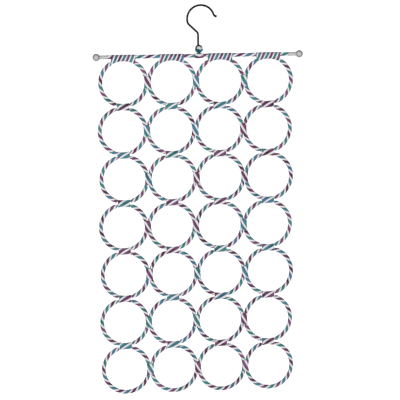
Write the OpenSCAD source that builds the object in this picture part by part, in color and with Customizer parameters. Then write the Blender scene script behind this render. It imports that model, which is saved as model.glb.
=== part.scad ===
// Hanging scarf organiser. A wire hook carries a bar, and rows of wound wire rings hang from the bar.
// Rings that touch are lashed together with strand. The lashings between rows are hinges: the wires
// of the lower row turn inside them, so the rows fold on each other like a concertina.
// The origin is the seat inside the hook, +Z is up, and the rings lie in the XZ plane.

/* [Rings] */
// Diameter of a ring, to the middle of its wire
ring_d = 76; // [70:1:84]
// Thickness of the wire that a ring is bent from
ring_wire_d = 2.8; // [2.4:0.1:3.2]
// Thickness of the winding on a ring's wire
winding_t = 1.3; // [1:0.05:1.6]
// Thickness of the winding where it is drawn in beside a fold
neck_t = 0.75; // [0.5:0.05:0.9]
// Distance from the middle of a fold to the end of the drawn-in winding
neck_reach = 16.5; // [14:0.5:20]
// Space between the wires of two rings where they are lashed together
wire_space = 1.2; // [1:0.05:1.6]
// How far every second row hangs to the left
row_shift = 1.8; // [0:0.2:3]

/* [Lashings between rings] */
// Length of a lashing between two rows
fold_lash_l = 20; // [16:0.5:22]
// Depth of a lashing between two rows, front to back
fold_lash_depth = 7.4; // [7:0.1:8.4]
// Length of a lashing between two rings of one row
side_lash_l = 19; // [15:0.5:24]
// Depth of a lashing between two rings of one row, front to back
side_lash_depth = 6.2; // [5.8:0.1:7]
// Thickness of strand over the wires in a lashing
lash_t = 1.45; // [1.2:0.05:1.8]

/* [Bar] */
// Diameter of the rod inside the bar
rod_d = 4.4; // [3.6:0.1:5]
// Thickness of the winding on the rod
bar_winding_t = 0.9; // [0.7:0.05:1.2]
// Length of the bar beyond the middle of the first ring, to the middle of its ball
overhang_left = 44; // [42:1:60]
// Length of the bar beyond the middle of the last ring, to the middle of its ball
overhang_right = 52; // [42:1:60]
// Space between the rod and a ring's wire where the ring is lashed to the bar
rod_space = 0.7; // [0.5:0.05:1.2]
// Length of a lashing between the bar and a ring
bar_lash_l = 40; // [34:1:44]
// Thickness of the under layer of a lashing between the bar and a ring
under_t = 0.5; // [0.4:0.05:0.7]
// Thickness of the strand wound over the under layer
strand_t = 1.2; // [0.9:0.05:1.4]

/* [End caps] */
// Diameter of the ball on an end cap
ball_d = 12; // [10:0.5:14]
// Diameter of an end cap's stem
stem_d = 6.2; // [5.8:0.1:7]
// Length of an end cap, from the middle of its ball
cap_l = 18; // [16:0.5:20]
// Height of the ribs round a stem
stem_rib_h = 0.35; // [0.2:0.05:0.5]
// How far the rod reaches into the ball
rod_in_ball = 2; // [1:0.5:4]

/* [Hook] */
// Thickness of the hook's wire
hook_wire_d = 2.8; // [2.4:0.1:3.2]
// Inside diameter of the hook's bend
seat_d = 42; // [34:1:50]
// Angle above the horizontal at which the bend ends beside the mouth
mouth_angle = 18; // [10:1:40]
// Radius of the out-turned tip, to the middle of the wire
tip_bend_r = 4.5; // [3.5:0.5:6]
// Turn of the tip
tip_turn = 62; // [40:1:70]
// Diameter of the ball on the tip
tip_ball_d = 4.2; // [3.6:0.1:5]
// Angle at which the bend tightens towards the neck of the hook
neck_angle = 192; // [185:1:200]
// Radius of the bend under the seat, to the middle of the wire
low_bend_r = 9; // [6:0.5:12]
// Slope of the straight run below it
run_slope = 43; // [38:1:50]
// Radius of the bend at the top of the shank, to the middle of the wire
shank_bend_r = 7; // [5:0.5:9]
// How far the shank stands to the left of the seat
shank_side = 4.5; // [0:0.5:8]
// Length of the straight shank above the eye
shank_l = 18; // [12:1:30]
// Diameter of the eye, to the middle of its wire
eye_d = 9.2; // [8.6:0.1:11]
// How far the eye's middle lies to the right of the shank
eye_side = 1.2; // [0:0.1:1.6]
// Distance from the bar's middle up to the wire at the foot of the eye
eye_over_bar = 7; // [6.6:0.1:9]
// Length of the lashing inside the eye, along the bar
eye_lash_l = 4.2; // [3:0.2:4.4]
// Thickness of that lashing over the wires
eye_lash_t = 0.9; // [0.7:0.05:1.1]
// Length of the lashing on the bar under the eye
saddle_l = 15; // [10:1:20]
// How much thinner the wire is in a tight bend
bend_thin = 0.1; // [0.06:0.01:0.2]
// How far the middle of the rings lies to the left of the seat
grid_side = 8.4; // [0:0.2:12]

/* [Fits] */
// Clearance between strand and the wire or rod inside it
wire_fit = 0.1; // [0.08:0.01:0.15]
// Clearance round a wire that turns inside a lashing
swing_fit = 0.2; // [0.15:0.01:0.25]
// Gap between the end of a winding and what it meets
end_gap = 0.3; // [0.2:0.05:0.5]

/* [Hidden] */
columns = 4;
rows = 7;
$fn = 48;

// Overlap of two lengths of wire or winding, along the wire and as a turn
bend_lap = 0.3;
lap_turn = 1;
// How far a bore runs past what it goes through, along it and as a turn
past = 1;
past_turn = 5;
// Height that the straight middle of a bell stands over its curve
bell_land = 0.05;

ring_r = ring_d / 2;
winding_d = ring_wire_d + 2 * (wire_fit + winding_t);
neck_d = ring_wire_d + 2 * (wire_fit + neck_t);
joint_l = ring_wire_d + wire_space;
pitch = ring_d + joint_l;
lash_r = ring_wire_d / 2 + lash_t;

// The hook, from its seat down to the bar
bend_r = seat_d / 2 + hook_wire_d / 2;
bend_z = -seat_d / 2;
low_bend_at = [0, bend_z] + (bend_r - low_bend_r) * [cos(neck_angle), sin(neck_angle)];
run_from = low_bend_at + low_bend_r * [cos(270 - run_slope), sin(270 - run_slope)];
shank_x = -shank_side;
run_to_x = shank_x - shank_bend_r * (1 - sin(run_slope));
run_l = (run_to_x - run_from[0]) / cos(run_slope);
shank_bend_z = run_from[1] - run_l * sin(run_slope) - shank_bend_r * cos(run_slope);
eye_r = eye_d / 2;
eye_x = shank_x + eye_side;
eye_z = shank_bend_z - shank_l - eye_r;
eye_foot_z = eye_z - eye_r;
bar_z = eye_foot_z - eye_over_bar;

// The bar and the ring grid under it
rod_r = rod_d / 2;
bar_winding_r = rod_r + wire_fit + bar_winding_t;
rod_to_wire = rod_r + rod_space + ring_wire_d / 2;
left_ball_x = ring_x(1, 1) - overhang_left;
right_ball_x = ring_x(1, columns) + overhang_right;
rod_end = ball_d / 2 - rod_in_ball;
under_rod_r = rod_r + wire_fit + under_t;
under_wire_r = ring_wire_d / 2 + wire_fit + under_t;

function ring_x(r, c) = (c - (columns + 1) / 2) * pitch - grid_side - (r % 2 == 0 ? row_shift : 0);
function ring_z(r) = bar_z - rod_to_wire - ring_r - (r - 1) * pitch;

strand_colour = [0.62, 0.76, 0.80];
lash_colour = [0.52, 0.33, 0.52];
steel = [0.62, 0.63, 0.65];

// A length of round wire bent about the origin in the XZ plane
module bent_wire(r, from, to, d)
    rotate([90, 0, 0]) rotate([0, 0, from]) rotate_extrude(angle = to - from)
        translate([r, 0]) circle(d = d);

// A length of round wire along X, from one place to another
module rod_along(from, to, d)
    translate([from, 0, 0]) rotate([0, 90, 0]) cylinder(d = d, h = to - from);

// A tight bend in the hook's wire: a little thinner, and let into the wire at both its ends
module tight_bend(at, r, from, to) {
    lap = bend_lap * 180 / (PI * r);
    translate([at[0], 0, at[1]]) bent_wire(r, from - lap, to + lap, hook_wire_d - bend_thin);
}

// One wire from the out-turned tip, round the seat and down the shank to a closed eye
module hook() color([0.10, 0.10, 0.11]) {
    mouth = [cos(mouth_angle), sin(mouth_angle)];
    tip_at = [0, bend_z] + (bend_r + tip_bend_r) * mouth;
    tip_end = tip_at - tip_bend_r * [cos(mouth_angle + tip_turn), sin(mouth_angle + tip_turn)];
    translate([0, 0, bend_z]) bent_wire(bend_r, mouth_angle, neck_angle, hook_wire_d);
    tight_bend(tip_at, tip_bend_r, 180 + mouth_angle, 180 + mouth_angle + tip_turn);
    translate([tip_end[0], 0, tip_end[1]]) sphere(d = tip_ball_d);
    tight_bend(low_bend_at, low_bend_r, neck_angle, 270 - run_slope);
    translate([run_from[0], 0, run_from[1]]) rotate([0, 90 + run_slope, 0])
        cylinder(d = hook_wire_d, h = run_l);
    tight_bend([shank_x - shank_bend_r, shank_bend_z], shank_bend_r, 0, 90 - run_slope);
    translate([shank_x, 0, shank_bend_z - shank_l]) cylinder(d = hook_wire_d, h = shank_l);
    translate([eye_x, 0, eye_z]) bent_wire(eye_r, 0, 360, hook_wire_d);
}

// A sleeve about Z, straight in its middle, whose radius then grows as a bent wire leaves its axis
module bell(bend, middle_r, from, to)
    rotate_extrude() {
        translate([0, from]) square([middle_r, to - from]);
        difference() {
            translate([0, from]) square([bend * 2 / 3, to - from]);
            translate([bend, 0]) circle(r = bend - middle_r + bell_land);
        }
    }

// Strand that ties the foot of the eye to the bar and lets the hook rock on it
module hook_lashing() color(lash_colour) {
    foot_r = hook_wire_d / 2 + swing_fit;
    half = eye_lash_l / 2;
    band_r = eye_r - sqrt(pow(eye_r - foot_r, 2) - half * half) + eye_lash_t;
    saddle_r = bar_winding_r + wire_fit + eye_lash_t;
    translate([eye_x, 0, 0]) difference() {
        union() {
            translate([0, 0, eye_foot_z]) rod_along(-half, half, 2 * band_r);
            translate([0, 0, bar_z]) rod_along(-saddle_l / 2, saddle_l / 2, 2 * saddle_r);
            translate([-half, -band_r, bar_z]) cube([eye_lash_l, 2 * band_r, eye_over_bar]);
        }
        translate([0, 0, eye_foot_z]) rotate([0, 90, 0]) bell(eye_r, foot_r, -half - past, half + past);
        translate([0, 0, bar_z])
            rod_along(-saddle_l, saddle_l, 2 * (bar_winding_r + wire_fit));
    }
}

module bar_rod() color(steel)
    translate([0, 0, bar_z]) rod_along(left_ball_x + rod_end, right_ball_x - rod_end, rod_d);

// A clear cap: a ball and a ribbed stem with a socket for the rod, turned about X
module end_cap() {
    ribs = 3;
    rib_step = (cap_l - ball_d / 2) / ribs;
    difference() {
        rotate([0, 90, 0]) rotate_extrude() difference() {
            union() {
                circle(d = ball_d);
                square([stem_d / 2, cap_l]);
                for (i = [1:ribs])
                    translate([stem_d / 2 - rib_step / 2 + stem_rib_h, cap_l - (i - 0.5) * rib_step])
                        circle(d = rib_step);
            }
            translate([-ball_d, -ball_d]) square([ball_d, ball_d + 2 * cap_l]);
        }
        rod_along(rod_end - end_gap, cap_l + past, rod_d + 2 * wire_fit);
    }
}

module end_cap_left() color([0.80, 0.82, 0.84, 0.7])
    translate([left_ball_x, 0, bar_z]) end_cap();

module end_cap_right() color([0.80, 0.82, 0.84, 0.7])
    translate([right_ball_x, 0, bar_z]) mirror([1, 0, 0]) end_cap();

// The strand on the rod, in lengths between the caps and the lashings
module bar_winding() color(strand_colour) translate([0, 0, bar_z]) {
    half = bar_lash_l / 2 + end_gap;
    for (c = [0:columns]) {
        from = c == 0 ? left_ball_x + cap_l + end_gap : ring_x(1, c) + half;
        to = c == columns ? right_ball_x - cap_l - end_gap : ring_x(1, c + 1) - half;
        difference() {
            rod_along(from, to, 2 * bar_winding_r);
            rod_along(from - past, to + past, rod_d + 2 * wire_fit);
        }
    }
}

// Strand round the bar and the top of a ring together, this far out from the under layer's outside
module round_both(more, half) {
    reach = asin(half / (ring_r - under_wire_r)) + lap_turn;
    intersection() {
        union() {
            translate([0, 0, bar_z]) rod_along(-half, half, 2 * (under_rod_r + more));
            translate([0, 0, ring_z(1)])
                bent_wire(ring_r, 90 - reach, 90 + reach, 2 * (under_wire_r + more));
            rotate([90, 0, 0]) linear_extrude(ring_wire_d + 2 * (under_t + more), center = true)
                difference() {
                    translate([-half, ring_z(1)]) square([2 * half, bar_z - ring_z(1)]);
                    translate([0, ring_z(1)]) circle(r = ring_r);
                }
        }
        translate([-half, -ring_r, ring_z(1)]) cube([2 * half, 2 * ring_r, 2 * ring_r]);
    }
}

// Under layers of strand that hold the top of each ring of the first row along the bar
module bar_lashings() color([0.86, 0.88, 0.90])
    for (c = [1:columns]) translate([ring_x(1, c), 0, 0]) difference() {
        round_both(0, bar_lash_l / 2);
        translate([0, 0, bar_z]) rod_along(-ring_r, ring_r, rod_d + 2 * wire_fit);
        translate([0, 0, ring_z(1)]) bent_wire(ring_r, 0, 180, ring_wire_d + 2 * wire_fit);
    }

// The strand wound over them
module bar_lashing_strands() color([0.20, 0.55, 0.58])
    for (c = [1:columns]) translate([ring_x(1, c), 0, 0]) difference() {
        round_both(wire_fit + strand_t, bar_lash_l / 2);
        round_both(wire_fit, bar_lash_l / 2 + past);
    }

// Bare wire rings of one row
module ring_wires(r) color(steel)
    for (c = [1:columns]) translate([ring_x(r, c), 0, ring_z(r)])
        bent_wire(ring_r, 0, 360, ring_wire_d);

// Where a ring is lashed: to the right, at the top, to the left and at the foot
function lashed_at(r, c) = concat(
    c < columns ? [0] : [], [90], c > 1 ? [180] : [], r < rows ? [270] : []);
// How far a fold lashing lies off the middle of its ring, to the right
function fold_off(r) = (r % 2 == 0 ? 1 : -1) * row_shift / 2;
// Turn from a lashing's middle to where a winding of this thickness can start, anticlockwise or back
function clear_of(r, at, way, d) =
    let (bar = r == 1 && at == 90,
         fold = !bar && (at == 90 || at == 270),
         off = fold ? way * (at == 270 ? 1 : -1) * fold_off(r) : 0,
         half = bar ? bar_lash_l / 2 : fold ? fold_lash_l / 2 + off : side_lash_l / 2)
    asin((half + end_gap) / (ring_r - d / 2));
function is_fold(r, at) = at == 270 || (at == 90 && r > 1);
function full_from(r, at, way) =
    is_fold(r, at) ? asin(neck_reach / ring_r) : clear_of(r, at, way, winding_d);

// The strand on one ring, in lengths between its lashings, drawn in beside the folds
module winding(r, c) color(strand_colour) translate([ring_x(r, c), 0, ring_z(r)]) {
    at = lashed_at(r, c);
    for (i = [0:len(at) - 1]) {
        a = at[i];
        b = i < len(at) - 1 ? at[i + 1] : at[0] + 360;
        full_a = a + full_from(r, a, 1);
        full_b = b - full_from(r, b % 360, -1);
        neck_a = a + clear_of(r, a, 1, neck_d);
        neck_b = b - clear_of(r, b % 360, -1, neck_d);
        difference() {
            union() {
                bent_wire(ring_r, full_a, full_b, winding_d);
                if (is_fold(r, a)) bent_wire(ring_r, neck_a, full_a + lap_turn, neck_d);
                if (is_fold(r, b % 360)) bent_wire(ring_r, full_b - lap_turn, neck_b, neck_d);
            }
            bent_wire(ring_r, neck_a - past_turn, neck_b + past_turn, ring_wire_d + 2 * wire_fit);
        }
    }
}

// Lashings between the rings of one row, bored to the curve of both wires
module side_lashings(r) color(lash_colour)
    for (c = [1:columns - 1]) translate([(ring_x(r, c) + ring_x(r, c + 1)) / 2, 0, ring_z(r)]) {
        half = side_lash_l / 2;
        reach = asin(half / ring_r) + past_turn;
        difference() {
            intersection() {
                union() {
                    for (s = [-1, 1]) translate([s * joint_l / 2, 0, 0])
                        bell(ring_r, lash_r, -half, half);
                    cube([joint_l, 2 * lash_r, side_lash_l], center = true);
                }
                cube([ring_r, side_lash_depth, side_lash_l], center = true);
            }
            for (s = [0, 180]) translate([(s == 0 ? -1 : 1) * (ring_r + joint_l / 2), 0, 0])
                bent_wire(ring_r, s - reach, s + reach, ring_wire_d + 2 * wire_fit);
        }
    }

// Lashings between two rows, with a bell mouth at both ends of each bore so that a wire can turn in it
module fold_lashings(r) color(lash_colour)
    for (c = [1:columns]) {
        half = fold_lash_l / 2;
        foot = [ring_x(r, c), 0, ring_z(r) - ring_r];
        top = [ring_x(r + 1, c), 0, ring_z(r + 1) + ring_r];
        wires = [foot, top];
        middle = (foot + top) / 2;
        difference() {
            intersection() {
                union() {
                    for (w = wires) translate(w) rotate([0, 90, 0])
                        bell(ring_r, lash_r, middle[0] - w[0] - half, middle[0] - w[0] + half);
                    translate(middle) cube([fold_lash_l, 2 * lash_r, joint_l], center = true);
                }
                translate(middle) cube([fold_lash_l, fold_lash_depth, ring_r], center = true);
            }
            for (w = wires) translate(w) rotate([0, 90, 0])
                bell(ring_r, ring_wire_d / 2 + swing_fit, -half - row_shift - past, half + row_shift + past);
        }
    }

hook();
hook_lashing();
bar_rod();
end_cap_left();
end_cap_right();
bar_winding();
bar_lashings();
bar_lashing_strands();
for (r = [1:rows]) ring_wires(r);
for (r = [1:rows], c = [1:columns])
    winding(r, c);
for (r = [1:rows]) side_lashings(r);
for (r = [1:rows - 1])
    fold_lashings(r);
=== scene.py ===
import math

import bmesh
import bpy
from mathutils import Matrix, Vector


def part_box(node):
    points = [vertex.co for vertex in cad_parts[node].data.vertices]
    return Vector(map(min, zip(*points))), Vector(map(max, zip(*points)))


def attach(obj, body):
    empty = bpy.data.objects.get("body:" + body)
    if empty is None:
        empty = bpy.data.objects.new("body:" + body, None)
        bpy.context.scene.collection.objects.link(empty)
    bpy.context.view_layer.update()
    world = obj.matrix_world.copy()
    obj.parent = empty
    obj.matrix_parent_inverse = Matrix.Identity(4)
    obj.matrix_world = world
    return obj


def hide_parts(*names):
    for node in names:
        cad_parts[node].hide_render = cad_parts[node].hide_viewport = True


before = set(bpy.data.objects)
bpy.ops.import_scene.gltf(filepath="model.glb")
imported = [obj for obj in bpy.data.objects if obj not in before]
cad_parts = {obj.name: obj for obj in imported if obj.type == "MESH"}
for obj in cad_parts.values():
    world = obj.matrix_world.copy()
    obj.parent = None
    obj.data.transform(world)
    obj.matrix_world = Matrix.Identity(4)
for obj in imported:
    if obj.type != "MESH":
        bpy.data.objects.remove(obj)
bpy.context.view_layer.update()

# The hook: one steel wire under glossy black paint, bent from its out-turned tip round the seat and down a
# straight shank to a closed eye, by which strand holds it to the bar. Paint gathers in a ball at its tip.
MM = 0.001
wire_r, painted_r, tip_ball_r = 1.4 * MM, 1.68 * MM, 2.2 * MM
seat_inside_r = 21 * MM
seat_r = seat_inside_r + wire_r
seat_at = Vector((0, 0, -seat_inside_r))
# Angles above +X where the seat's bend begins, at the mouth, and ends, at the neck
mouth, neck = math.radians(18), math.radians(192)
tip_r, tip_turn = 4.5 * MM, math.radians(62)
low_r, slope = 9 * MM, math.radians(43)
shank_r, shank_x, shank_l = 7 * MM, -4.5 * MM, 18 * MM
eye_r, eye_x = 4.6 * MM, -3.3 * MM
WIRE_SIDES, BALL_RINGS = 24, 16
TIP_STEPS, SEAT_STEPS, LOW_STEPS, SHANK_STEPS, EYE_STEPS = 12, 64, 10, 12, 36


def out(angle):
    """A step of one metre in the plane of the rings, at that angle above +X."""
    return Vector((math.cos(angle), 0, math.sin(angle)))


def bend(bm, rim, centre, angle, steps):
    """Bends the wire on from its rim, anticlockwise as seen from the front, and gives the new rim."""
    made = bmesh.ops.spin(bm, geom=rim, cent=centre, axis=(0, -1, 0), angle=angle, steps=steps,
                          use_merge=False, use_normal_flip=False, use_duplicate=False)
    return [e for e in made["geom_last"] if isinstance(e, bmesh.types.BMEdge)]


def grow(bm, rim):
    """Extrudes a rim in place, and gives its new points and the new rim."""
    made = bmesh.ops.extrude_edge_only(bm, edges=rim)["geom"]
    verts = [v for v in made if isinstance(v, bmesh.types.BMVert)]
    return verts, [e for e in made if isinstance(e, bmesh.types.BMEdge) and e.is_boundary]


def run_on(bm, rim, step):
    """Runs the wire straight on from its rim, and gives the new rim."""
    verts, rim = grow(bm, rim)
    bmesh.ops.translate(bm, verts=verts, vec=step)
    return rim


def rim_through(verts):
    """The edges of a new ring of points."""
    return list({e for v in verts for e in v.link_edges})


def keep(bm, name, *materials):
    """Makes the piece from its mesh, smooth and with its faces pointing out."""
    bmesh.ops.recalc_face_normals(bm, faces=bm.faces[:])
    for f in bm.faces:
        f.smooth = True
    mesh = bpy.data.meshes.new(name)
    bm.to_mesh(mesh)
    bm.free()
    for m in materials:
        mesh.materials.append(m)
    piece = bpy.data.objects.new(name, mesh)
    bpy.context.scene.collection.objects.link(piece)
    return piece


def finish_of(name, colour, roughness, metallic=0.0, **more):
    """A material with its own Principled shader, and that shader."""
    m = bpy.data.materials.new(name)
    m.use_nodes = True
    shader = m.node_tree.nodes["Principled BSDF"]
    shader.inputs["Base Color"].default_value = (*colour, 1)
    shader.inputs["Roughness"].default_value = roughness
    shader.inputs["Metallic"].default_value = metallic
    for socket, value in more.items():
        shader.inputs[socket.replace("_", " ")].default_value = value
    return m, shader


black_paint, _ = finish_of("black_paint", (0.001, 0.001, 0.0015), 0.3, Specular_IOR_Level=0.05)

tip_at = seat_at + (seat_r + tip_r) * out(mouth)
tip_end = tip_at - tip_r * out(mouth + tip_turn)
low_at = seat_at + (seat_r - low_r) * out(neck)
run_from = low_at + low_r * out(1.5 * math.pi - slope)
run_l = (shank_x - shank_r * (1 - math.sin(slope)) - run_from.x) / math.cos(slope)
shank_at = run_from + run_l * out(-slope) - shank_r * out(math.pi / 2 - slope)
eye_at = Vector((eye_x, 0, shank_at.z - shank_l - eye_r))

hook_mesh = bmesh.new()
cut = Matrix.Translation(tip_end) @ Matrix.Rotation(-mouth - tip_turn, 4, "Y")
bmesh.ops.create_circle(hook_mesh, cap_ends=True, segments=WIRE_SIDES, radius=painted_r, matrix=cut)
rim = [e for e in hook_mesh.edges if e.is_boundary]
rim = bend(hook_mesh, rim, tip_at, -tip_turn, TIP_STEPS)
rim = bend(hook_mesh, rim, seat_at, neck - mouth, SEAT_STEPS)
rim = bend(hook_mesh, rim, low_at, 1.5 * math.pi - slope - neck, LOW_STEPS)
rim = run_on(hook_mesh, rim, run_l * out(-slope))
rim = bend(hook_mesh, rim, shank_at, slope - math.pi / 2, SHANK_STEPS)
rim = run_on(hook_mesh, rim, Vector((0, 0, -shank_l)))
bmesh.ops.edgeloop_fill(hook_mesh, edges=rim)
bmesh.ops.create_uvsphere(hook_mesh, u_segments=WIRE_SIDES, v_segments=BALL_RINGS, radius=tip_ball_r,
                          matrix=Matrix.Translation(tip_end))
eye_section = bmesh.ops.create_circle(hook_mesh, segments=WIRE_SIDES, radius=painted_r,
                                      matrix=Matrix.Translation(eye_at + Vector((eye_r, 0, 0))))
bmesh.ops.spin(hook_mesh, geom=rim_through(eye_section["verts"]), cent=eye_at, axis=(0, -1, 0),
               angle=2 * math.pi, steps=EYE_STEPS, use_merge=True)
hook = keep(hook_mesh, "hook_wire", black_paint)
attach(hook, "hook_part")
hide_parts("hook")

# The strand: four lengths of soft spun yarn side by side, teal, white, purple and white, laid left-handed
# round every wire. Each colour drifts between two shades, and fine fibres lie along each length. Painted
# shade darkens the seams between yarns, the grooves between fibres and random patches of the coloured yarns.
# Fibre count and skew, the painted shade in the grooves between fibres, and the width and painted shade of
# the seams
FIBRES, FIBRE_SKEW, FIBRE_PAINTED_SHADE = 9, 0.35, 0.86
SEAM_WIDTH, SEAM_PAINTED_SHADE = 0.24, 0.12


def add(tree, kind, inputs, **settings):
    """Adds a shader node. Each input, by its name or number, takes a value or another node's output."""
    made = tree.nodes.new("ShaderNode" + kind)
    for setting, value in settings.items():
        setattr(made, setting, value)
    for socket, value in inputs.items():
        if isinstance(value, bpy.types.NodeSocket):
            tree.links.new(value, made.inputs[socket])
        else:
            made.inputs[socket].default_value = value
    return made


def calc(tree, operation, *values):
    """Adds a Math node on those values or outputs, and gives its result."""
    return add(tree, "Math", dict(enumerate(values)), operation=operation).outputs["Value"]


def mapped(tree, value, from_min, from_max, to_min=0):
    """Adds a Map Range node that takes a value from one range to the range from to_min to 1."""
    ends = {"Value": value, "From Min": from_min, "From Max": from_max, "To Min": to_min}
    return add(tree, "MapRange", ends).outputs["Result"]


yarn = bpy.data.node_groups.new("spun_yarn", "ShaderNodeTree")
for name, kind in (("Along", "Vector"), ("First shade", "Color"), ("Second shade", "Color"),
                   ("Painted shade patches", "Float")):
    yarn.interface.new_socket(name, in_out="INPUT", socket_type="NodeSocket" + kind)
for name, kind in (("Colour with painted shade", "Color"), ("Height", "Float")):
    yarn.interface.new_socket(name, in_out="OUTPUT", socket_type="NodeSocket" + kind)
given = yarn.nodes.new("NodeGroupInput").outputs
# The drift is read in the object's own place
place = add(yarn, "TexCoord", {}).outputs["Object"]
drift = add(yarn, "TexNoise", {"Vector": place, "Scale": 45, "Detail": 1}).outputs["Fac"]
shades = {"Factor": mapped(yarn, drift, 0.36, 0.64), "A": given["First shade"], "B": given["Second shade"]}
shade = add(yarn, "Mix", shades, data_type="RGBA").outputs["Result"]
# Fibres: fine ridges across the yarn's width, slightly skewed along it, with painted shade between them
across = add(yarn, "SeparateXYZ", {"Vector": given["Along"]}).outputs
skewed = calc(yarn, "MULTIPLY_ADD", across["Y"], FIBRE_SKEW, across["X"])
ridge = calc(yarn, "PINGPONG", calc(yarn, "MULTIPLY", skewed, FIBRES), 0.5)
# Seams: painted shade, dark almost to black in the valley where one yarn dips under the next
seam = calc(yarn, "PINGPONG", across["X"], 0.5)
# light is the painted shade of the fibres and seams, by which the colour is multiplied
fibre_painted_shade = mapped(yarn, ridge, 0, 0.5, FIBRE_PAINTED_SHADE)
light = calc(yarn, "MULTIPLY", fibre_painted_shade, mapped(yarn, seam, 0, SEAM_WIDTH, SEAM_PAINTED_SHADE))
# Painted shade in random patches, darkened almost to black like the shade where strands cross
patches = add(yarn, "TexNoise", {"Vector": place, "Scale": 110, "Detail": 0}).outputs["Fac"]
patch_painted_shade = calc(yarn, "MULTIPLY", mapped(yarn, patches, 0.55, 0.68), given["Painted shade patches"])
light = calc(yarn, "MULTIPLY", light, calc(yarn, "SUBTRACT", 1, patch_painted_shade))
# The drifting colour, darkened by all the painted shade
painted_shade_colour = add(yarn, "VectorMath", {"Vector": shade, "Scale": light}, operation="SCALE").outputs["Vector"]
put_out = yarn.nodes.new("NodeGroupOutput").inputs
yarn.links.new(painted_shade_colour, put_out["Colour with painted shade"])
yarn.links.new(ridge, put_out["Height"])


def yarn_finish(name, first, second, painted_shade_patches=0):
    """Yarn of one colour that drifts between two shades, with painted shade in its seams, between its fibres
    and in random patches.
    """
    m, shader = finish_of(name, first, 0.65, Specular_IOR_Level=0.1)
    tree = m.node_tree
    lay = add(tree, "UVMap", {}, uv_map="lay")
    colours = {"First shade": (*first, 1), "Second shade": (*second, 1), "Painted shade patches": painted_shade_patches}
    spun = add(tree, "Group", {"Along": lay.outputs["UV"], **colours}, node_tree=yarn)
    relief = add(tree, "Bump", {"Strength": 0.5, "Distance": 0.1 * MM, "Height": spun.outputs["Height"]})
    tree.links.new(spun.outputs["Colour with painted shade"], shader.inputs["Base Color"])
    tree.links.new(relief.outputs["Normal"], shader.inputs["Normal"])
    return m


# The last number is how dark the random patches of painted shade go
teal = yarn_finish("teal_yarn", (0.03, 0.24, 0.22), (0.04, 0.20, 0.34), 0.4)
white = yarn_finish("white_yarn", (0.70, 0.74, 0.76), (0.75, 0.70, 0.76))
purple = yarn_finish("purple_yarn", (0.24, 0.06, 0.20), (0.11, 0.025, 0.075), 0.55)
YARNS = (teal, white, purple, white)

PER_YARN = 8
BORE_SIDES = 12
YARN_FULLNESS = 0.95


def crown(k):
    """Height of a yarn's rounded back, from 0 in the valley to 1, at the k-th point across the yarns."""
    across = (k % PER_YARN) / PER_YARN * 2 - 1
    low = math.sqrt(1 - YARN_FULLNESS ** 2)
    return (math.sqrt(1 - (YARN_FULLNESS * across) ** 2) - low) / (1 - low)


def sleeve(name, yarns, steps, outside, inside, first_yarn=0, finishes=YARNS):
    """A sleeve of yarns. An outer and an inner rim are extruded step by step, each new point is moved to
    where outside or inside puts it, and both ends are bridged. The yarn that a face belongs to picks its
    material."""
    bm = bmesh.new()
    number, run = bm.verts.layers.int.new("number"), bm.verts.layers.float.new("run")
    first_rims = []
    for sides, skin in ((yarns * PER_YARN, 1), (BORE_SIDES, -1)):
        ring = bmesh.ops.create_circle(bm, segments=sides, radius=1)["verts"]
        for k, v in enumerate(ring):
            v[number] = (k + 1) * skin
        first_rims.append(rim_through(ring))

    def settle(verts, i):
        for v in verts:
            k = v[number]
            v.co = outside(i, k - 1) if k > 0 else inside(i, -k - 1)
            v[run] = i

    settle(bm.verts, 0)
    rims = first_rims
    for i in range(1, steps + 1):
        grown = [grow(bm, rim) for rim in rims]
        for verts, _ in grown:
            settle(verts, i)
        rims = [rim for _, rim in grown]
    lay = bm.loops.layers.uv.new("lay")
    wrap = yarns * PER_YARN
    for f in bm.faces:
        ks = [abs(v[number]) - 1 for v in f.verts]
        over_seam = max(ks) - min(ks) > 1
        start = max(ks) if over_seam else min(ks)
        if all(v[number] > 0 for v in f.verts):
            f.material_index = (start // PER_YARN + first_yarn) % len(finishes)
        for corner, k in zip(f.loops, ks):
            corner[lay].uv = (((k or wrap) if over_seam else k) / PER_YARN, corner.vert[run] / PER_YARN)
    for outer, inner in (first_rims, rims):
        bmesh.ops.bridge_loops(bm, edges=outer + inner)
    return keep(bm, name, *finishes)


def shoulder(s, half, fall, over=1.6 * MM):
    """How far a sleeve's skin has come down near its end: nothing until over from it, then round to fall."""
    near = max(0, 1 - (half - abs(s)) / over)
    return fall * (1 - math.sqrt(max(0, 1 - near * near)))


# The windings: the strand laid round each steel ring in lengths between the lashings, drawn in beside the
# folds so that the rows can turn. One turn of the lay is 24 mm, and each ring starts at its own point of it.
ROWS, COLUMNS = 7, 4
ring_r = 38 * MM
lay_l = 24 * MM
winding_r, neck_r, bore_r, valley = 3.5 * MM, 2.7 * MM, 1.5 * MM, 0.48 * MM
STEPS_PER_TURN = 16
side_half, fold_half, bar_half, end_gap = 9.5 * MM, 10 * MM, 20 * MM, 0.3 * MM
# Where a winding starts beside each kind of lashing, and where a short slope brings it to its full thickness
winding_from = {"side": 8.7 * MM, "bar": 18.5 * MM}
full_from = {"side": 11 * MM, "bar": 21.5 * MM, "fold": 14.5 * MM}
thickening_turn = 0.035
golden_turn = math.pi * (3 - math.sqrt(5))


def ring_at(row, column):
    """The middle of a ring, from the bare wires of its row."""
    low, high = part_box(f"ring_wires_row_{row}")
    pitch = (high[0] - low[0] - 2 * (ring_r + wire_r)) / (COLUMNS - 1)
    return Vector((low[0] + ring_r + wire_r + (column - 1) * pitch, 0, (low[2] + high[2]) / 2))


def lashed(row, column):
    """Where a ring is lashed, as (angle, what it is lashed to)."""
    return [lash for lash, there in (((0, "side"), column < COLUMNS),
                                     ((90, "bar" if row == 1 else "fold"), True),
                                     ((180, "side"), column > 1),
                                     ((270, "fold"), row < ROWS)) if there]


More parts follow.
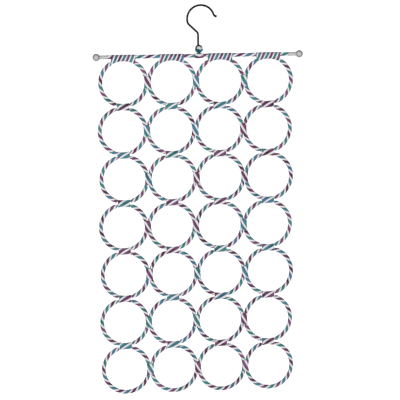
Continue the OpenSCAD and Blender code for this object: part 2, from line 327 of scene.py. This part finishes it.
def clear_angle(row, at, to, way):
    """The turn from a lashing's middle to where the strand starts, on one side (1) or the other (-1)."""
    if to == "fold":
        other = row + 1 if at == 270 else row - 1
        off = (ring_at(other, 1).x - ring_at(row, 1).x) / 2
        off *= way * (1 if at == 270 else -1)
        return math.asin((fold_half + end_gap + off) / (ring_r - neck_r))
    return math.asin(winding_from[to] / ring_r)


def round_wire(centre, bend_r, angle, r, turn):
    """A point r from the middle of a wire that is bent round a centre."""
    return centre + (bend_r + r * math.cos(turn)) * out(angle) + Vector((0, r * math.sin(turn), 0))


def wound_ring(row, column):
    """One ring's windings, a piece from each lashing to the next."""
    centre = ring_at(row, column)
    places = lashed(row, column)
    phase = (row * COLUMNS + column) * golden_turn
    lengths = []
    for n, (at, to) in enumerate(places):
        next_at, next_to = places[(n + 1) % len(places)]
        start, stop = math.radians(at), math.radians(next_at + (0 if n + 1 < len(places) else 360))
        begin, end = start + clear_angle(row, at, to, 1), stop - clear_angle(row, next_at, next_to, -1)
        steps = round((end - begin) * ring_r / lay_l * STEPS_PER_TURN)

        def radius(angle):
            """Full, or drawn in beside a lashing, with a short slope between."""
            past = min(angle - start - math.asin(full_from[to] / ring_r),
                       stop - angle - math.asin(full_from[next_to] / ring_r))
            return neck_r + (winding_r - neck_r) * min(1, max(0, past / thickening_turn + 1))

        def outside(i, k):
            angle = begin + (end - begin) * i / steps
            turn = 2 * math.pi * k / (len(YARNS) * PER_YARN) - angle * ring_r / lay_l * 2 * math.pi + phase
            return round_wire(centre, ring_r, angle, radius(angle) - valley * (1 - crown(k)), turn)

        def inside(i, k):
            angle = begin + (end - begin) * i / steps
            return round_wire(centre, ring_r, angle, bore_r, 2 * math.pi * k / BORE_SIDES)

        lengths.append(sleeve(f"strand_r{row}_c{column}_{n + 1}", len(YARNS), steps, outside, inside))
    return lengths


ring_body = {row: "bar_and_row_1" if row == 1 else f"row_{row}" for row in range(1, ROWS + 1)}
for row in range(1, ROWS + 1):
    for column in range(1, COLUMNS + 1):
        for piece in wound_ring(row, column):
            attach(piece, ring_body[row])
            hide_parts(f"winding_r{row}_c{column}")

# The ring wires: plain drawn steel, each ring closed, held by the strand round it and by the lashings. They
# are seen only in the bores of the lashings.
bare_steel, _ = finish_of("bare_steel", (0.55, 0.56, 0.58), 0.3, 1.0)


def paint(node, material):
    """Gives a CAD node that stays its material."""
    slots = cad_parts[node].data.materials
    slots.clear()
    slots.append(material)


for row in range(1, ROWS + 1):
    paint(f"ring_wires_row_{row}", bare_steel)

# The lashings between rings: the strands of two rings laid together round both wires, six yarns wide. One
# between two rows is loose on the lower wire, so the rows fold there.
LASH_YARNS, LASH_STEPS = 6, 18
lash_lay = 46 * MM
lash_deep = {"side": 3.5 * MM, "fold": 3.7 * MM}
lash_bore_r, bore_flare, lash_wall, lash_fall = 1.6 * MM, 0.6, 0.7 * MM, 0.8 * MM
wires_apart = 4 * MM
right, up = Vector((1, 0, 0)), Vector((0, 0, 1))


def slot_point(share, half_gap, high, deep):
    """A point of a slot-shaped section at that share of the way round, as (along +Y, across the wires)."""
    flat, arc = 2 * half_gap, math.pi * high
    way = (share % 1) * 2 * (flat + arc)
    if way < flat:
        return -deep, way - half_gap
    if way < flat + arc:
        turn = (way - flat) / high
        return -deep * math.cos(turn), half_gap + high * math.sin(turn)
    if way < 2 * flat + arc:
        return deep, half_gap - (way - flat - arc)
    turn = (way - 2 * flat - arc) / high
    return deep * math.cos(turn), -half_gap - high * math.sin(turn)


def lashing(name, middle, along, over, half, deep, shift, first_yarn):
    """A lashing about its middle: along runs with the wires, over goes from one wire to the other. shift is
    how far the wire on the far side of over stands ahead of the middle, along the wires."""
    def leaves(s):
        """How far a ring's wire has bent away from the other at that place along the lashing."""
        return ring_r - math.sqrt(ring_r ** 2 - s ** 2)

    def station(i):
        s = half * math.sin(math.pi * (i / LASH_STEPS - 0.5))
        return s, (leaves(s - shift) + leaves(s + shift)) / 2

    def put(s, point):
        return middle + s * along + point[1] * over + Vector((0, point[0], 0))

    def outside(i, k):
        s, apart = station(i)
        share = k / (LASH_YARNS * PER_YARN) + s / lash_lay
        r = winding_r - valley * (1 - crown(k)) - shoulder(s, half, lash_fall)
        return put(s, slot_point(share, wires_apart / 2 + apart, r, r + (deep - winding_r) * abs(s) / half))

    def inside(i, k):
        s, apart = station(i)
        r = lash_bore_r + apart * bore_flare
        return put(s, slot_point(k / BORE_SIDES, wires_apart / 2, r, min(r, deep - lash_wall)))

    return sleeve(name, LASH_YARNS, LASH_STEPS, outside, inside, first_yarn)


for row in range(1, ROWS + 1):
    for column in range(1, COLUMNS):
        middle = (ring_at(row, column) + ring_at(row, column + 1)) / 2
        piece = lashing(f"side_lashing_r{row}_{column}_{column + 1}", middle, up, -right, side_half,
                        lash_deep["side"], 0, row + column)
        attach(piece, ring_body[row])
        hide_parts(f"side_lashings_row_{row}")

for row in range(1, ROWS):
    for column in range(1, COLUMNS + 1):
        foot = ring_at(row, column) - ring_r * up
        top = ring_at(row + 1, column) + ring_r * up
        piece = lashing(f"fold_lashing_c{column}_{row}_{row + 1}", (foot + top) / 2, right, up, fold_half,
                        lash_deep["fold"], (foot.x - top.x) / 2, row + column)
        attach(piece, ring_body[row])
        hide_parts(f"fold_lashings_{row}_{row + 1}")

# The bar: a steel rod with the same strand laid round it, in lengths between the end caps and the lashings,
# which hold its ends.
rod_low, rod_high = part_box("bar_rod")
bar_z = (rod_low[2] + rod_high[2]) / 2
rod_r = (rod_high[2] - rod_low[2]) / 2
bar_r, rod_gap = rod_r + 1.0 * MM, 0.1 * MM
bar_lay = 30 * MM
BAR_STEPS_PER_TURN, FEWEST_BAR_STEPS = 20, 6


def on_bar(x, r, turn):
    """A point r from the bar's middle line."""
    return Vector((x, r * math.cos(turn), bar_z + r * math.sin(turn)))


winding_low, winding_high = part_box("bar_winding")
edges = [winding_low[0]]
for column in range(1, COLUMNS + 1):
    middle = ring_at(1, column).x
    edges += [middle - bar_half + end_gap, middle + bar_half - end_gap]
edges.append(winding_high[0])
for n in range(COLUMNS + 1):
    start, stop = edges[2 * n], edges[2 * n + 1]
    steps = max(FEWEST_BAR_STEPS, round((stop - start) / bar_lay * BAR_STEPS_PER_TURN))

    def outside(i, k):
        x = start + (stop - start) * i / steps
        turn = 2 * math.pi * (k / (len(YARNS) * PER_YARN) - x / bar_lay)
        return on_bar(x, bar_r - valley * (1 - crown(k)), turn)

    def inside(i, k):
        return on_bar(start + (stop - start) * i / steps, rod_r + rod_gap, 2 * math.pi * k / BORE_SIDES)

    piece = sleeve(f"bar_strand_{n + 1}", len(YARNS), steps, outside, inside)
    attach(piece, "bar_and_row_1")
    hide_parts("bar_winding")
paint("bar_rod", bare_steel)

# The bar lashings: the strand wound steeply round the bar and the top of a ring together, three turns of all
# four yarns over a white under layer, like a belt over two rollers that draw apart from its middle to its
# ends.
belt_lay, belt_thick, belt_valley, belt_fall = 13.4 * MM, 1.7 * MM, 0.5 * MM, 0.5 * MM
under_thick = 0.62 * MM
belt_rod_r, belt_wire_r = rod_r + belt_thick, wire_r + belt_thick
BELT_STEPS = 60
rod_to_wire = bar_z - ring_at(1, 1).z - ring_r


def belt_point(share, gap, upper, lower):
    """A point of a belt over two rollers a gap apart, as (along +Y, above the upper one's middle)."""
    lean = math.asin((upper - lower) / gap)
    arcs = (math.pi + 2 * lean) * upper, (math.pi - 2 * lean) * lower
    flat = gap * math.cos(lean)
    way = (share % 1) * (sum(arcs) + 2 * flat)
    if way < arcs[0]:
        turn = way / upper - lean
        return -upper * math.cos(turn), upper * math.sin(turn)
    way -= arcs[0]
    ends = ((upper * math.cos(lean), -upper * math.sin(lean)),
            (lower * math.cos(lean), -gap - lower * math.sin(lean)))
    if way < flat:
        return tuple(a + (b - a) * way / flat for a, b in zip(*ends))
    way -= flat
    if way < arcs[1]:
        turn = lean + way / lower
        return lower * math.cos(turn), -gap - lower * math.sin(turn)
    way -= arcs[1]
    return tuple(sign * (b + (a - b) * way / flat) for sign, a, b in zip((-1, 1), *ends))


for column in range(1, COLUMNS + 1):
    middle = ring_at(1, column)

    def spot(i, share, upper, lower):
        s = -bar_half + 2 * bar_half * i / BELT_STEPS
        gap = rod_to_wire + ring_r - math.sqrt(ring_r ** 2 - s ** 2)
        y, z = belt_point(share, gap, upper, lower)
        return Vector((middle.x + s, y, bar_z + z))

    def outside(i, k):
        s = -bar_half + 2 * bar_half * i / BELT_STEPS
        down = belt_valley * (1 - crown(k)) + shoulder(s, bar_half, belt_fall)
        return spot(i, k / (len(YARNS) * PER_YARN) + s / belt_lay, belt_rod_r - down, belt_wire_r - down)

    def inside(i, k):
        return spot(i, k / BORE_SIDES, rod_r + under_thick, wire_r + under_thick)

    piece = sleeve(f"bar_lashing_{column}", len(YARNS), BELT_STEPS, outside, inside, column)
    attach(piece, "bar_and_row_1")
    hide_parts("bar_lashing_strands")
under_white, _ = finish_of("under_white", (0.85, 0.86, 0.88), 0.6)
paint("bar_lashings", under_white)

# The end caps: a clear moulded ball and ribbed stem, turned in one piece and pushed on the rod. The plastic
# is grey, with painted shade that darkens it towards black at its rim as seen, and most so in the ball.
clear_plastic, clear_shader = finish_of("clear_plastic", (0.6, 0.6, 0.6), 0.25, Transmission_Weight=0.2,
                                        IOR=1.47, Specular_IOR_Level=0.25)
clear_grey, painted_rim_shade = (0.58, 0.58, 0.59, 1), (0, 0, 0, 1)
stem_to, ball_from, stem_painted_rim_share = 160 * MM, 163 * MM, 0.3
tree = clear_plastic.node_tree
along = add(tree, "SeparateXYZ", {"Vector": add(tree, "TexCoord", {}).outputs["Object"]}).outputs["X"]
from_middle = calc(tree, "ABSOLUTE", calc(tree, "SUBTRACT", along, (rod_low[0] + rod_high[0]) / 2))
# Painted shade: the grey runs towards black where the surface turns away from the view, less on the stem
facing = add(tree, "LayerWeight", {"Blend": 0.72}).outputs["Facing"]
painted_rim_share = calc(tree, "MULTIPLY", facing, mapped(tree, from_middle, stem_to, ball_from, stem_painted_rim_share))
painted_rim_mix = add(tree, "Mix", {"Factor": painted_rim_share, "A": clear_grey, "B": painted_rim_shade}, data_type="RGBA")
tree.links.new(painted_rim_mix.outputs["Result"], clear_shader.inputs["Base Color"])
paint("end_cap_left", clear_plastic)
paint("end_cap_right", clear_plastic)

# The hook's lashing: strand wound round both arms of the eye and through it in a knot, looped three times
# round its foot and the bar, and laid on the bar below like a saddle. The loops are loose on the eye's foot,
# so the hook rocks on them.
EYE_YARNS, ARM_STEPS = 4, 12
eye_strand_r, eye_valley, eye_lay = 2.7 * MM, 0.25 * MM, 9 * MM
eye_bore_r = painted_r + 0.03 * MM
arm_fall, arm_fall_over = 0.4 * MM, 0.8 * MM
eye_foot = eye_at - Vector((0, 0, eye_r))
for side, start, stop in (("left", 204, 249), ("right", 291, 352)):
    start, stop = math.radians(start), math.radians(stop)

    def outside(i, k):
        angle = start + (stop - start) * i / ARM_STEPS
        turn = 2 * math.pi * (k / (EYE_YARNS * PER_YARN) - angle * eye_r / eye_lay)
        half = (stop - start) * eye_r / 2
        s = (2 * i / ARM_STEPS - 1) * half
        down = eye_valley * (1 - crown(k)) + shoulder(s, half, arm_fall, arm_fall_over)
        return round_wire(eye_at, eye_r, angle, eye_strand_r - down, turn)

    def inside(i, k):
        angle = start + (stop - start) * i / ARM_STEPS
        return round_wire(eye_at, eye_r, angle, eye_bore_r, 2 * math.pi * k / BORE_SIDES)

    arm = sleeve(f"eye_strand_{side}", EYE_YARNS, ARM_STEPS, outside, inside, finishes=(teal,))
    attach(arm, "hook_part")

# The knot crosses the eye on a slant, fullest in its middle
KNOT_STEPS = 26
knot_along, knot_across = out(math.radians(62)), out(math.radians(-28))
knot_at = eye_at + 1.1 * MM * knot_across + 0.5 * MM * knot_along
knot_half, knot_lay, knot_from = 3.1 * MM, 6.6 * MM, 2 * MM
knot_strand_r, knot_valley, knot_bore_r = 2.3 * MM, 0.35 * MM, 1.75 * MM
knot_bulge_r, knot_core = 5.9 * MM, 2.4 * MM
knot_fall, knot_fall_over = 0.5 * MM, 0.9 * MM


def knot_spot(s, point):
    """A point of the knot's section, s along its slant from the middle."""
    return knot_at + s * knot_along + point[1] * knot_across + Vector((0, point[0], 0))


def knot_outside(i, k):
    s = knot_half * (2 * i / KNOT_STEPS - 1)
    r = knot_strand_r - knot_valley * (1 - crown(k)) - shoulder(s, knot_half, knot_fall, knot_fall_over)
    share = k / (EYE_YARNS * PER_YARN) + (s + knot_from) / knot_lay
    return knot_spot(s, slot_point(share, math.sqrt(knot_bulge_r ** 2 - s ** 2) - knot_core, r, r))


def knot_inside(i, k):
    s = knot_half * (2 * i / KNOT_STEPS - 1)
    return knot_spot(s, slot_point(k / BORE_SIDES, knot_core, knot_bore_r, knot_bore_r))


knot_finishes = (teal, white, white, white)
knot = sleeve("eye_knot", EYE_YARNS, KNOT_STEPS, knot_outside, knot_inside, finishes=knot_finishes)
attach(knot, "hook_part")

# Each loop is a belt about the eye's foot and the bar, with a round back, and the loops fan out on the bar
LOOP_SIDES, LOOP_STEPS = 10, 48
loop_half, loop_wire_r, loop_bar_r = 0.5 * MM, 2.6 * MM, bar_r + 0.1 * MM
loop_lift, loop_flatness, loop_fan = 0.28 * MM, 0.5, 1.5
loop_drop = eye_foot.z - bar_z
for n in (-1, 0, 1):
    loop = bmesh.new()
    lay, index = loop.loops.layers.uv.new("lay"), loop.verts.layers.int.new("index")
    ring = bmesh.ops.create_circle(loop, segments=LOOP_SIDES, radius=loop_half)["verts"]
    section = [v.co.copy() for v in ring]
    for k, v in enumerate(ring):
        v[index] = k
    rim = rim_through(ring)

    def settle(verts, i):
        for v in verts:
            aside, raised = section[v[index]].x, loop_flatness * section[v[index]].y + loop_lift
            y, z = belt_point(i / LOOP_STEPS, loop_drop, loop_wire_r + raised, loop_bar_r + raised)
            spread = 1 + loop_fan * min(1, max(0, -z / loop_drop))
            v.co = Vector((eye_foot.x + spread * (2 * n * loop_half + aside), -y, eye_foot.z + z))

    settle(loop.verts, 0)
    for i in range(1, LOOP_STEPS + 1):
        verts, rim = grow(loop, rim)
        settle(verts, i)
    for f in loop.faces:
        for corner in f.loops:
            corner[lay].uv = (corner.vert[index] / LOOP_SIDES, 0)
    bmesh.ops.remove_doubles(loop, verts=loop.verts, dist=0.001 * MM)
    piece = keep(loop, f"eye_loop_{n + 2}", teal)
    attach(piece, "bar_and_row_1")
    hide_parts("hook_lashing")

# The saddle's yarns lie along the bar, highest under the eye, and turn down round it towards their ends
SADDLE_STEPS = 20
saddle_half, saddle_crest, saddle_drop, saddle_fall = 7.5 * MM, 1.3 * MM, 0.45 * MM, 0.7 * MM
saddle_turn, saddle_sag = 0.4, 0.8


def saddle_outside(i, k):
    s = saddle_half * math.sin(math.pi * (i / SADDLE_STEPS - 0.5))
    out_share = (s / saddle_half) ** 2
    turn = 2 * math.pi * k / (len(YARNS) * PER_YARN) + saddle_turn - saddle_sag * out_share
    crest = bar_r + saddle_crest - saddle_drop * out_share
    down = valley * (1 - crown(k)) + shoulder(s, saddle_half, saddle_fall)
    return on_bar(eye_foot.x + s, crest - down, turn)


def saddle_inside(i, k):
    s = saddle_half * math.sin(math.pi * (i / SADDLE_STEPS - 0.5))
    return on_bar(eye_foot.x + s, bar_r + rod_gap, 2 * math.pi * k / BORE_SIDES)


saddle = sleeve("bar_saddle", len(YARNS), SADDLE_STEPS, saddle_outside, saddle_inside)
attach(saddle, "bar_and_row_1")
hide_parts("hook_lashing")

# The studio: a wide white floor that glows evenly, two large soft lights and a pale sky, open on all sides.
floor_white, floor_shader = finish_of("floor_white", (0.9, 0.9, 0.9), 1.0, Emission_Strength=0.75)
floor_shader.inputs["Emission Color"].default_value = (1, 1, 1, 1)
floor_z, floor_half = -0.78, 80
floor_mesh = bmesh.new()
bmesh.ops.create_grid(floor_mesh, x_segments=1, y_segments=1, size=floor_half,
                      matrix=Matrix.Translation((0, 0, floor_z)))
studio_floor = keep(floor_mesh, "studio_floor", floor_white)

# The sky lights the object softly and is itself seen as white
scene = bpy.context.scene
sky = bpy.data.worlds.new("studio_sky")
sky.use_nodes = True
sky_light = 0.42
seen = add(sky.node_tree, "LightPath", {}).outputs["Is Camera Ray"]
glow = sky.node_tree.nodes["Background"].inputs
glow["Color"].default_value = (1, 1, 1, 1)
sky.node_tree.links.new(mapped(sky.node_tree, seen, 0, 1, sky_light), glow["Strength"])
scene.world = sky

lit_point = Vector((0, 0, -0.33))
for name, place, size, power in (("key_light", Vector((-1.5, -1.9, 1.6)), 1.2, 34),
                                 ("fill_light", Vector((1.9, -2.0, 0.2)), 1.6, 10)):
    light = bpy.data.lights.new(name, "AREA")
    light.size, light.energy = size, power
    lamp = bpy.data.objects.new(name, light)
    lamp.location = place
    lamp.rotation_euler = (lit_point - place).to_track_quat("-Z", "Y").to_euler()
    scene.collection.objects.link(lamp)

# The camera: a long lens a little above the middle of the hanger and to its left, rolled a little.
lens, sensor, distance = 217.4, 36, 4
look_at = Vector((-3.1 * MM, 0, -321.1 * MM))
yaw, pitch, roll = math.radians(7.36), math.radians(8.71), math.radians(0.38)
ahead = Vector((math.sin(yaw) * math.cos(pitch), math.cos(yaw) * math.cos(pitch), -math.sin(pitch)))
camera = bpy.data.objects.new("camera", bpy.data.cameras.new("camera"))
camera.data.lens, camera.data.sensor_width = lens, sensor
camera.location = look_at - ahead * distance
camera.rotation_mode = "QUATERNION"
camera.rotation_quaternion = ahead.to_track_quat("-Z", "Y") @ Matrix.Rotation(-roll, 3, "Z").to_quaternion()
scene.collection.objects.link(camera)
scene.camera = camera
scene.view_settings.view_transform = "Standard"
